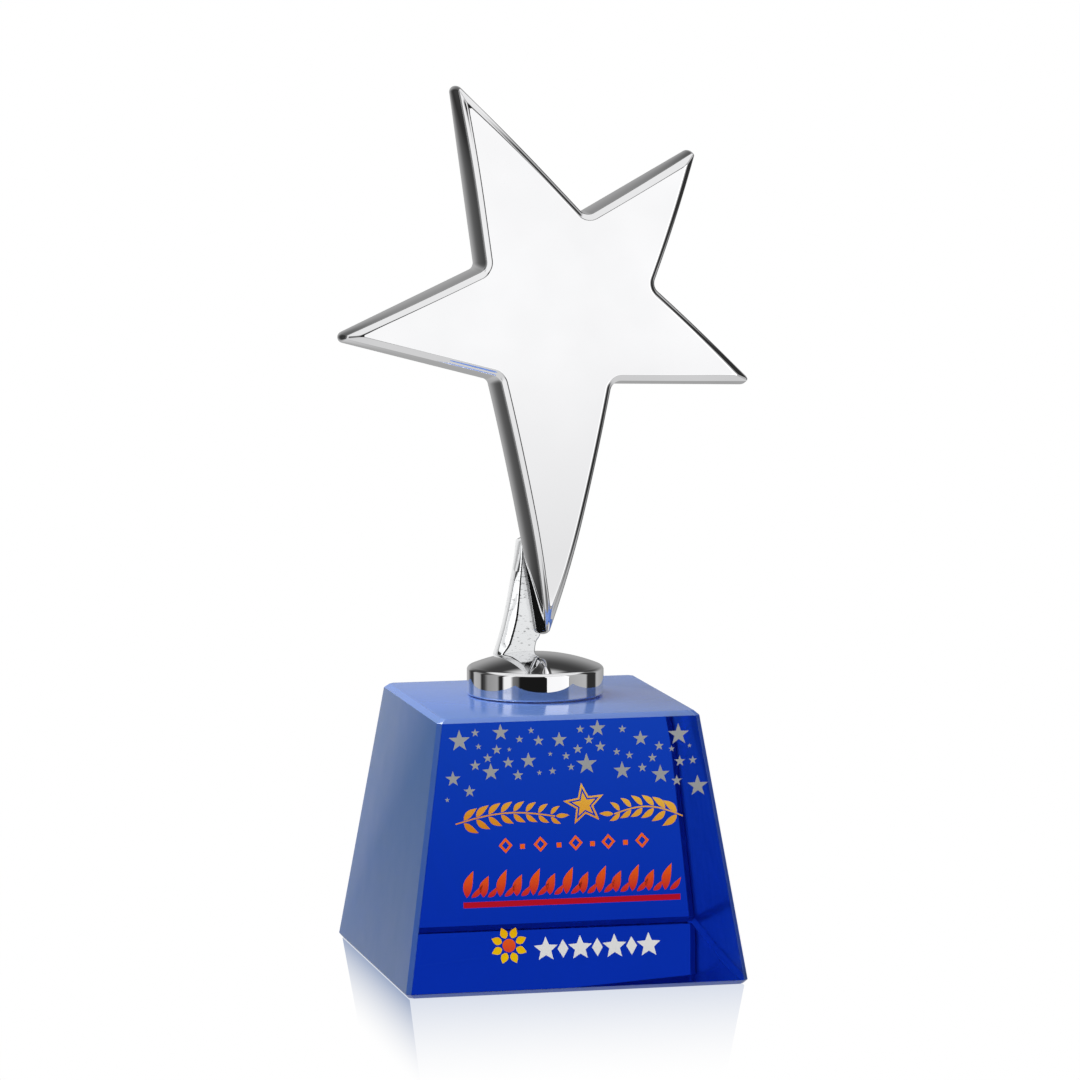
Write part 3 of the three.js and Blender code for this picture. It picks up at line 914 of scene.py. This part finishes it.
def leaf(base, angle, reach, width, curl=0.0):
    """The outline of a leaf from its base at an angle in degrees, curling to one side."""
    direction = spoke(angle)
    side = Vector((-direction.y, direction.x))
    steps = 10
    upper, lower = [], []
    for k in range(steps + 1):
        t = k / steps
        middle = Vector(base) + direction * reach * t + side * curl * math.sin(math.pi * t)
        half = width / 2 * math.sin(math.pi * t ** 0.8)
        upper.append(middle + side * half)
        lower.append(middle - side * half)
    return lower + list(reversed(upper[1:-1]))


def star_marks(centre, outer, inner_share, turn=90.0, points=5):
    """The outline of a star with its first point at an angle in degrees."""
    radii = (outer, outer * inner_share)
    return [spoke(turn + 180 * k / points, centre, radii[k % 2]) for k in range(2 * points)]


def box_outline(left, right, low, high):
    return [(left, low), (right, low), (right, high), (left, high)]


def lozenge(centre, half_width, half_height):
    x, z = centre
    return [(x - half_width, z), (x, z - half_height), (x + half_width, z), (x, z + half_height)]


def laurel(mesh, start, end, rise, leaves, size, flip=1):
    """A laurel branch: a thin stem from start to end that bows upwards, with leaves in pairs along it."""
    start, end = Vector(start), Vector(end)
    run = (end - start).normalized()
    heading = math.degrees(math.atan2(run.y, run.x))
    steps = 24
    stem = []
    for k in range(steps + 1):
        t = k / steps
        stem.append(start.lerp(end, t) + Vector((0, rise * math.sin(math.pi * t))))
    half = Vector((0, STEM_HALF))
    upper, lower = [p + half for p in stem], [p - half for p in stem]
    plate(mesh, lower + upper[::-1] if run.x > 0 else upper + lower[::-1])
    for k in range(leaves):
        t = (k + 0.6) / leaves
        base = stem[min(steps, round(t * steps))]
        reach = size * (1 - 0.35 * t)
        for side in (1, -1):
            foot, away = base + Vector((0, 0.3 * side)), side * flip
            plate(mesh, leaf(foot, heading + away * 38, reach, reach * 0.36, away * 0.25))
    plate(mesh, leaf(stem[-1] + run * 0.2, heading, size * 0.75, size * 0.25))


def print_piece(name, mesh, ink):
    thing = finish_mesh(mesh, name, face_place())
    sharpen(thing, 20)
    return finished(thing, "adhesive", (), ink)


def star_field_tree():
    """Geometry Nodes that scatter printed stars of two sizes over a band, clear of each other."""
    sizes = ("Small radius", "Large radius", "Small spacing", "Large spacing", "Ink thickness")
    tree, entry = geometry_tree("Printed stars", [*((name, "Float") for name in sizes), ("Seed", "Int")])

    def step(kind, inputs=None, output=0, **settings):
        return add_node(tree, kind, inputs, **settings).outputs[output]

    outline = step("GeometryNodeCurveStar", {"Points": 5, "Outer Radius": 1.0, "Inner Radius": 0.4})
    upright = step("GeometryNodeTransform", {0: outline, "Rotation": (0, 0, math.pi / 2)})
    fill = step("GeometryNodeFillCurve", {0: upright})
    flipped = step("GeometryNodeFlipFaces", {0: fill})
    raised = step("GeometryNodeExtrudeMesh", {
        "Mesh": fill, "Offset Scale": STAR_RAISE, "Individual": False,
    }, "Mesh")
    closed = add_node(tree, "GeometryNodeJoinGeometry", {0: flipped})
    tree.links.new(raised, closed.inputs[0])
    welded = step("GeometryNodeMergeByDistance", {0: closed.outputs[0], "Distance": 1e-5})

    def scatter(spacing, seed_step):
        return step("GeometryNodeDistributePointsOnFaces", {
            "Mesh": entry["Geometry"], "Distance Min": entry[spacing], "Density Max": 4000000.0,
            "Seed": maths(tree, "ADD", entry["Seed"], float(seed_step)),
        }, "Points", distribute_method="POISSON")

    def sized(points, low, high, seed):
        size = step(
            "FunctionNodeRandomValue", {RANDOM_LOW: low, RANDOM_HIGH: high, "Seed": seed}, RANDOM_VALUE,
            data_type="FLOAT",
        )
        scale = step("ShaderNodeCombineXYZ", {"X": size, "Y": size, "Z": entry["Ink thickness"]})
        return step("GeometryNodeInstanceOnPoints", {"Points": points, "Instance": welded, "Scale": scale})

    def share(part):
        radii = {2: entry["Small radius"], 3: entry["Large radius"]}
        return step("ShaderNodeMix", {0: part, **radii}, data_type="FLOAT")

    large, small = scatter("Large spacing", 0), scatter("Small spacing", 11)
    nearest = step("GeometryNodeProximity", {0: large}, "Distance", target_element="POINTS")
    crowd = step(
        "FunctionNodeCompare", {0: nearest, 1: STAR_CLEARANCE}, data_type="FLOAT", operation="LESS_THAN"
    )
    cleared = step("GeometryNodeDeleteGeometry", {0: small, "Selection": crowd})
    both = add_node(tree, "GeometryNodeJoinGeometry", {0: sized(large, share(0.55), entry["Large radius"], 3)})
    tree.links.new(sized(cleared, entry["Small radius"], share(0.45), 4), both.inputs[0])
    return end_tree(tree, both.outputs[0], entry["Material"])


def build_star_field(silver):
    """The band of printed stars below the block's top edge, hanging lower at both ends."""
    ink = trophy_sizes().print
    band = bmesh.new()
    steps = 24
    upper, lower = [], []
    for k in range(steps + 1):
        t = 2 * k / steps - 1
        upper.append(band.verts.new((27.6 * t * MM, 59.6 * MM, 0)))
        dip = 50.4 - 5.5 * t * t - (1.2 if t < 0 else 0) * abs(t)
        lower.append(band.verts.new((29.6 * t * MM, dip * MM, 0)))
    for k in range(steps):
        band.faces.new((lower[k], lower[k + 1], upper[k + 1], upper[k]))
    thing = finish_mesh(band, "printed_stars")
    field = thing.modifiers.new("stars", "NODES")
    field.node_group = star_field_tree()
    set_inputs(field, {
        "Small radius": ink.star_small, "Large radius": ink.star_large, "Small spacing": ink.spacing,
        "Large spacing": ink.large_spacing, "Ink thickness": ink.thickness / STAR_RAISE, "Seed": ink.seed,
        "Material": silver,
    })
    bake_modifiers(thing)
    thing.data.transform(face_place() @ tilted((0, -ink.lift, 0), math.pi / 2))
    sharpen(thing, 20)
    return finished(thing, "adhesive", (), silver)


def bearing(side, up):
    """The direction at an angle round from the front, rising to the right, and an angle above the floor."""
    return Vector((math.sin(side) * math.cos(up), -math.cos(side) * math.cos(up), math.sin(up)))


# ---------------------------------------------------------------- operators

class TrophyOperator:
    bl_options = {"REGISTER", "UNDO"}


class TROPHY_OT_stage(TrophyOperator, bpy.types.Operator):
    """Set up the floor, the studio and the camera"""
    bl_idname = "trophy.stage"
    bl_label = "Stage"

    def execute(self, context):
        scene, stage = context.scene, trophy_sizes().stage
        scene.view_settings.view_transform = "Standard"
        lens = bpy.data.cameras.new("camera")
        lens.lens, lens.sensor_width = stage.focal, 36.0
        lens.clip_start, lens.clip_end = 0.01, 50.0
        camera = bpy.data.objects.new("camera", lens)
        scene.collection.objects.link(camera)
        back = bearing(stage.azimuth, stage.elevation)
        side = Vector((math.cos(stage.azimuth), math.sin(stage.azimuth), 0))
        aim = side * stage.aim_side + Vector((0, 0, stage.aim_height))
        camera.location = aim + back * stage.distance
        camera.rotation_euler = (-back).to_track_quat("-Z", "Y").to_euler()
        scene.camera = camera
        self.floor()
        self.floor_image(stage)
        self.world(scene)
        self.softboxes(stage)
        return {"FINISHED"}

    def camera_only(self, thing):
        thing.visible_glossy = thing.visible_transmission = thing.visible_diffuse = False
        thing.visible_shadow = False
        thing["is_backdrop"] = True

    def floor(self):
        """A white floor, clear near the block so that the mirror image below it shows through."""
        mesh = bmesh.new()
        bmesh.ops.create_circle(mesh, cap_ends=True, segments=96, radius=6.0)
        thing = finish_mesh(mesh, "floor", Matrix.Translation((0, 0, -0.2 * MM)))
        if thing.data.polygons[0].normal.z < 0:
            thing.data.flip_normals()
        material, tree = new_material("white_floor")
        where = add_node(tree, "ShaderNodeTexCoord").outputs["Object"]
        away = add_node(tree, "ShaderNodeVectorMath", {0: where}, operation="LENGTH").outputs["Value"]
        white = add_node(tree, "ShaderNodeEmission", {"Color": (1, 1, 1, 1), "Strength": 1.0})
        clear = add_node(tree, "ShaderNodeBsdfTransparent")
        mix = add_node(tree, "ShaderNodeMixShader", {
            0: span(tree, away, *FLOOR_CLEAR, 1.0, 0.0), 1: white.outputs[0], 2: clear.outputs[0],
        })
        add_node(tree, "ShaderNodeOutputMaterial", {"Surface": mix.outputs[0]})
        give_material(thing, material)
        self.camera_only(thing)

    def floor_image(self, stage):
        """The block's faint mirror image under the floor."""
        block = trophy_sizes().block
        rings = []
        for z, width in ((0.3 * MM, block.bottom), (BLOCK_HEIGHT, block.top)):
            half = width / 2 - MM
            rings.append([Vector((x * half, y * half, -z)) for x, y in ((-1, -1), (1, -1), (1, 1), (-1, 1))])
        image = finish_mesh(bridge(rings), "floor_image")
        for face in image.data.polygons:
            face.use_smooth = False
            face.material_index = 1 if abs(face.normal.x) > 0.9 else 0
        for name, shade in (("image_front", stage.image_front), ("image_side", stage.image_side)):
            image.data.materials.append(self.fading(name, shade, stage.floor_fade))
        self.camera_only(image)

    def fading(self, name, shade, reach):
        """A plain shade that fades to white with depth below the floor."""
        material, tree = new_material(name)
        eased = maths(tree, "POWER", span(tree, axes(tree)["Z"], -reach, 0.0), 1.7)
        glow = add_node(tree, "ShaderNodeEmission", {"Color": tint(tree, eased, (1, 1, 1), shade)})
        add_node(tree, "ShaderNodeOutputMaterial", {"Surface": glow.outputs[0]})
        return material

    def world(self, scene):
        """A white surround; reflections see grey and dark strips round it, as between studio panels."""
        scene.world = bpy.data.worlds.new("studio")
        scene.world.use_nodes = True
        tree = scene.world.node_tree
        tree.nodes.clear()
        x, y, z = axes(tree, "Generated")
        turn = maths(tree, "ARCTAN2", x, maths(tree, "MULTIPLY", y, -1.0))
        strips = add_node(tree, "ShaderNodeValToRGB", {0: span(tree, turn, -math.pi, math.pi)})
        self.fill_strips(strips.color_ramp)
        rays = add_node(tree, "ShaderNodeLightPath").outputs

        def height(low, high):
            return span(tree, z, low, high, interpolation_type="SMOOTHSTEP")

        dusk = maths(tree, "MULTIPLY", span(tree, y, 0.1, 0.5), height(0.12, 0.6))
        light = strips.outputs[0]
        for factor, value in (
            (dusk, 0.05), (height(0.66, 0.78), 0.9), (height(-0.35, -0.7), 0.7),
            (rays["Is Transmission Ray"], 0.86), (rays["Is Camera Ray"], 1.0),
        ):
            light = tint(tree, factor, light, (value, value, value))
        shade = add_node(tree, "ShaderNodeBackground", {"Color": light, "Strength": 1.0})
        add_node(tree, "ShaderNodeOutputWorld", {"Surface": shade.outputs[0]})

    def fill_strips(self, ramp):
        while len(ramp.elements) > 1:
            ramp.elements.remove(ramp.elements[-1])
        for number, (angle, value) in enumerate(STUDIO_STRIPS):
            place = (angle + 180) / 360
            stop = ramp.elements[0] if number == 0 else ramp.elements.new(place)
            stop.position = place
            stop.color = (value, value, value, 1)

    def softboxes(self, stage):
        """Softboxes, each for its own pieces: several in front, and one at the block's left."""
        pieces = {thing.name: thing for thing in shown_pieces()}
        block, star, blade = [
            [pieces.pop(name)] for name in ("blue_crystal_block", "polished_star", "curved_blade")
        ]
        inks = [thing for name, thing in pieces.items() if name.startswith(PRINT_NAMES)]
        metal = [*(thing for thing in pieces.values() if thing not in inks), *blade]
        front = stage.softbox
        for name, side, up, away, size, radiance, receivers in (
            ("star_softbox", 16, 3, 0.9, (1.9, 1.3), front, star),
            ("metal_softbox", 26, 8, 0.85, (0.62, 1.1), front, metal),
            ("blade_softbox", -70, 10, 0.8, (1.0, 1.0), 0.95 * front, blade),
            ("blade_side_softbox", -155, 5, 0.8, (1.0, 1.0), 0.5 * front, blade),
            ("print_softbox", -25, 45, 1.2, (1.0, 1.0), 3.3 * front, inks),
            ("block_softbox", -112, 55, 1.2, (0.8, 0.8), stage.block_light, block),
        ):
            way = bearing(math.radians(side), math.radians(up))
            self.lamp(name, way, away, size, radiance, receivers)

    def lamp(self, name, way, away, size, radiance, receivers):
        """A rectangular softbox that lights only the given pieces and that the camera doesn't see."""
        data = bpy.data.lights.new(name, "AREA")
        data.shape, (data.size, data.size_y) = "RECTANGLE", size
        data.energy = radiance * math.pi * size[0] * size[1]
        lamp = bpy.data.objects.new(name, data)
        bpy.context.scene.collection.objects.link(lamp)
        lamp.location = Vector((0, 0, SOFTBOX_AIM)) + way * away
        lamp.rotation_euler = way.to_track_quat("Z", "Y").to_euler()
        lamp.visible_camera = False
        lit = bpy.data.collections.new(name + "_lights")
        for thing in receivers:
            lit.objects.link(thing)
        lamp.light_linking.receiver_collection = lit


class TROPHY_OT_block(TrophyOperator, bpy.types.Operator):
    """Build the tapered block of blue crystal"""
    bl_idname = "trophy.block"
    bl_label = "Crystal block"

    def execute(self, context):
        look = trophy_sizes().finish
        polished = crystal_material("polished_crystal", look.crystal, (0.0, 0.02))
        satin = crystal_material("satin_crystal", look.crystal, (0.28, 0.36), look.side_skin, 0.28, 0.6)
        top = crystal_material("top_crystal", look.crystal, (0.12, 0.16), look.top_skin, 0.5)
        block = finished(build_block(), "crystal", ["crystal_block"], polished, satin, top)
        for face in block.data.polygons:
            x, _, z = face.normal
            side = abs(x) > 0.15 and abs(z) < 0.4
            low_chamfer = -0.95 < z < -0.1
            face.material_index = SATIN if side or low_chamfer else TOP if z > 0.6 else POLISHED
        return {"FINISHED"}


class TROPHY_OT_print(TrophyOperator, bpy.types.Operator):
    """Print the ornaments on the block's front"""
    bl_idname = "trophy.print"
    bl_label = "Print"

    def execute(self, context):
        look = trophy_sizes().finish
        silver = ink_material("silver_ink", darker(look.silver_ink, 0.92), look.silver_ink, 0.045, 0.062)
        build_star_field(silver)
        self.title(look)
        self.lozenges(look)
        self.garland(look)
        self.lowest_row(look)
        return {"FINISHED"}

    def title(self, look):
        """A gold star between two laurel branches."""
        gold = ink_material("gold_ink", look.gold_dark, look.gold_light, 0.034, 0.049, across=0.12)
        mesh = bmesh.new()
        laurel(mesh, (-27.3, 39.0), (-4.2, 40.0), 1.6, 8, 4.2)
        laurel(mesh, (25.6, 39.0), (9.6, 40.0), 1.9, 6, 4.4, flip=-1)
        outer, inner, heart = [star_marks((2.7, 42.4), radius, 0.42, 97) for radius in (5.0, 3.9, 2.9)]
        plate(mesh, outer, inner)
        plate(mesh, heart)
        print_piece("gold_laurel", mesh, gold)

    def lozenges(self, look):
        """A row of open lozenges with small squares between."""
        light = [min(1, 1.1 * c + 0.02) for c in look.orange]
        orange = ink_material("orange_ink", look.orange, light, 0.03, 0.037)
        mesh = bmesh.new()
        for x in (-15.9, -7.8, 0.4, 8.0, 15.9):
            plate(mesh, lozenge((x, 33.8), 1.6, 1.75), lozenge((x, 33.8), 0.85, 0.95))
        for x in (-12.0, -3.5, 4.3, 12.0):
            plate(mesh, box_outline(x - 0.55, x + 0.55, 32.9, 34.0))
        print_piece("orange_lozenges", mesh, orange)

    def garland(self, look):
        """Slanted leaves that run from orange down to crimson, over a crimson bar."""
        flame = ink_material("flame_ink", look.crimson, (1.0, 0.14, 0.003), 0.0215, 0.028)
        mesh = bmesh.new()
        for number in range(13):
            x, tall = -25.3 + 3.85 * number, 6.3 if number % 2 == 0 else 5.0
            plate(mesh, leaf((x, 22.3), 74, tall, 2.1, 0.45))
            plate(mesh, leaf((x + 1.1, 22.3), 46, tall * 0.62, 1.2, -0.3))
        print_piece("flame_garland", mesh, flame)
        crimson = ink_material("crimson_ink", look.crimson, darker(look.crimson, 0.85), 0.018, 0.022)
        mesh = bmesh.new()
        plate(mesh, box_outline(-26.1, 24.4, 20.0, 21.3))
        print_piece("crimson_bar", mesh, crimson)

    def lowest_row(self, look):
        """A rosette and a row of white stars and lozenges."""
        yellow = ink_material("yellow_ink", look.yellow, (1.0, 0.5, 0.0), 0.006, 0.016)
        orange = ink_material("rosette_ink", (1.0, 0.16, 0.0), (0.75, 0.02, 0.03), 0.014, 0.008)
        white = ink_material("white_ink", darker(look.white, 0.93), look.white, 0.006, 0.014)
        middle = (-15.9, 11.2)
        petals, heart, marks = bmesh.new(), bmesh.new(), bmesh.new()
        for k in range(8):
            angle = 22.5 + 45 * k
            plate(petals, leaf(Vector(middle) + spoke(angle) * 1.75, angle, 2.6, 1.75))
        plate(heart, [(middle[0] + 1.5 * math.cos(a), middle[1] + 1.5 * math.sin(a)) for a in around(36)])
        print_piece("rosette_petals", petals, yellow)
        print_piece("rosette_heart", heart, orange)
        for number in range(7):
            place = (-7.4 + 4.0 * number, 10.0)
            plate(marks, lozenge(place, 1.25, 2.1) if number % 2 else star_marks(place, 2.9, 0.45))
        print_piece("white_marks", marks, white)


class TROPHY_OT_foot(TrophyOperator, bpy.types.Operator):
    """Build the round chrome foot and finish the film of adhesive under it"""
    bl_idname = "trophy.foot"
    bl_label = "Foot"

    def execute(self, context):
        look = trophy_sizes().finish
        chrome = metal_material("foot_chrome", look.chrome, (0.005, 0.02), 300, 0.004)
        finished(build_foot(), "chrome", ["foot"], chrome)
        give_material(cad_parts["foot_bond"], adhesive_material())
        return {"FINISHED"}


class TROPHY_OT_blade(TrophyOperator, bpy.types.Operator):
    """Build the curved blade, which keeps a fine cast grain and small marks"""
    bl_idname = "trophy.blade"
    bl_label = "Blade"

    def execute(self, context):
        look = trophy_sizes().finish
        cast = metal_material("blade_chrome", look.blade, (0.04, 0.1), 1400, 0.22, 0.02 * MM, specks=0.8)
        finished(build_blade(), "chrome", ["blade"], cast)
        return {"FINISHED"}


class TROPHY_OT_star(TrophyOperator, bpy.types.Operator):
    """Build the polished star and the plate in its back"""
    bl_idname = "trophy.star"
    bl_label = "Star"

    def execute(self, context):
        look = trophy_sizes().finish
        # Painted shade: the star's chrome is darker towards its bottom, below 95 mm height, fading out by 145
        # mm.
        chrome = metal_material("star_chrome", look.chrome, (0.005, 0.025), 200, 0.004, film_and_painted_shade=(0.095, 0.145))
        finished(build_star(), "chrome", ["star_shell"], chrome)
        satin = metal_material("satin_plate", look.satin, (0.2, 0.34), 260, 0.3, 0.02 * MM, (1, 1, 14))
        finished(build_back_plate(), "chrome", ["star_back_plate"], satin)
        return {"FINISHED"}


class TROPHY_OT_screws(TrophyOperator, bpy.types.Operator):
    """Set the screws in the blade and in the star's back, and finish the fixings in the foot"""
    bl_idname = "trophy.screws"
    bl_label = "Screws"

    def execute(self, context):
        sizes = trophy_sizes()
        steel = metal_material("screw_steel", sizes.finish.steel, (0.18, 0.32), 1200, 0.2)
        back = (sizes.back.seat_gap + sizes.blade.thickness) / MM
        names = ["star_screw_1", "star_screw_2"]
        screw_row("blade_screws", sizes.screws.star_length, back, BLADE_SCREWS, names, steel)
        recess = -sizes.back.recess / MM
        names = ["plate_screw_1", "plate_screw_2", "plate_screw_3"]
        screw_row("back_screws", sizes.screws.plate_length, recess, STAR_PLATE_SCREWS, names, steel)
        for name in ("root_screw", "root_pin"):
            give_material(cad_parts[name], steel)
        return {"FINISHED"}


OPERATORS = (
    TROPHY_OT_block, TROPHY_OT_print, TROPHY_OT_foot, TROPHY_OT_blade, TROPHY_OT_star, TROPHY_OT_screws,
    TROPHY_OT_stage,
)


class TROPHY_PT_panel(bpy.types.Panel):
    """Sizes, colours and building steps of the star trophy"""
    bl_label = "Star trophy"
    bl_idname = "TROPHY_PT_panel"
    bl_space_type = "VIEW_3D"
    bl_region_type = "UI"
    bl_category = "Trophy"

    def draw(self, context):
        for operator in OPERATORS:
            self.layout.operator(operator.bl_idname)
        trophy = context.scene.trophy
        for key in trophy.bl_rna.properties.keys():
            group = getattr(trophy, key)
            if not isinstance(group, bpy.types.PropertyGroup):
                continue
            box = self.layout.box()
            box.label(text=trophy.bl_rna.properties[key].name)
            for size in group.bl_rna.properties.keys():
                if size not in {"rna_type", "name"}:
                    box.prop(group, size)


CLASSES = (
    StarSizes, BackSizes, BladeSizes, FootSizes, BlockSizes, ScrewSizes, PrintSizes, Finishes, StageSettings,
    TrophySettings, *OPERATORS, TROPHY_PT_panel,
)


def register():
    for item in CLASSES:
        bpy.utils.register_class(item)
    bpy.types.Scene.trophy = PointerProperty(type=TrophySettings)


def unregister():
    del bpy.types.Scene.trophy
    for item in reversed(CLASSES):
        bpy.utils.unregister_class(item)


def main():
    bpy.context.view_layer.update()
    register()
    for operator in OPERATORS:
        group, name = operator.bl_idname.split(".")
        getattr(getattr(bpy.ops, group), name)()


if __name__ == "__main__":
    main()
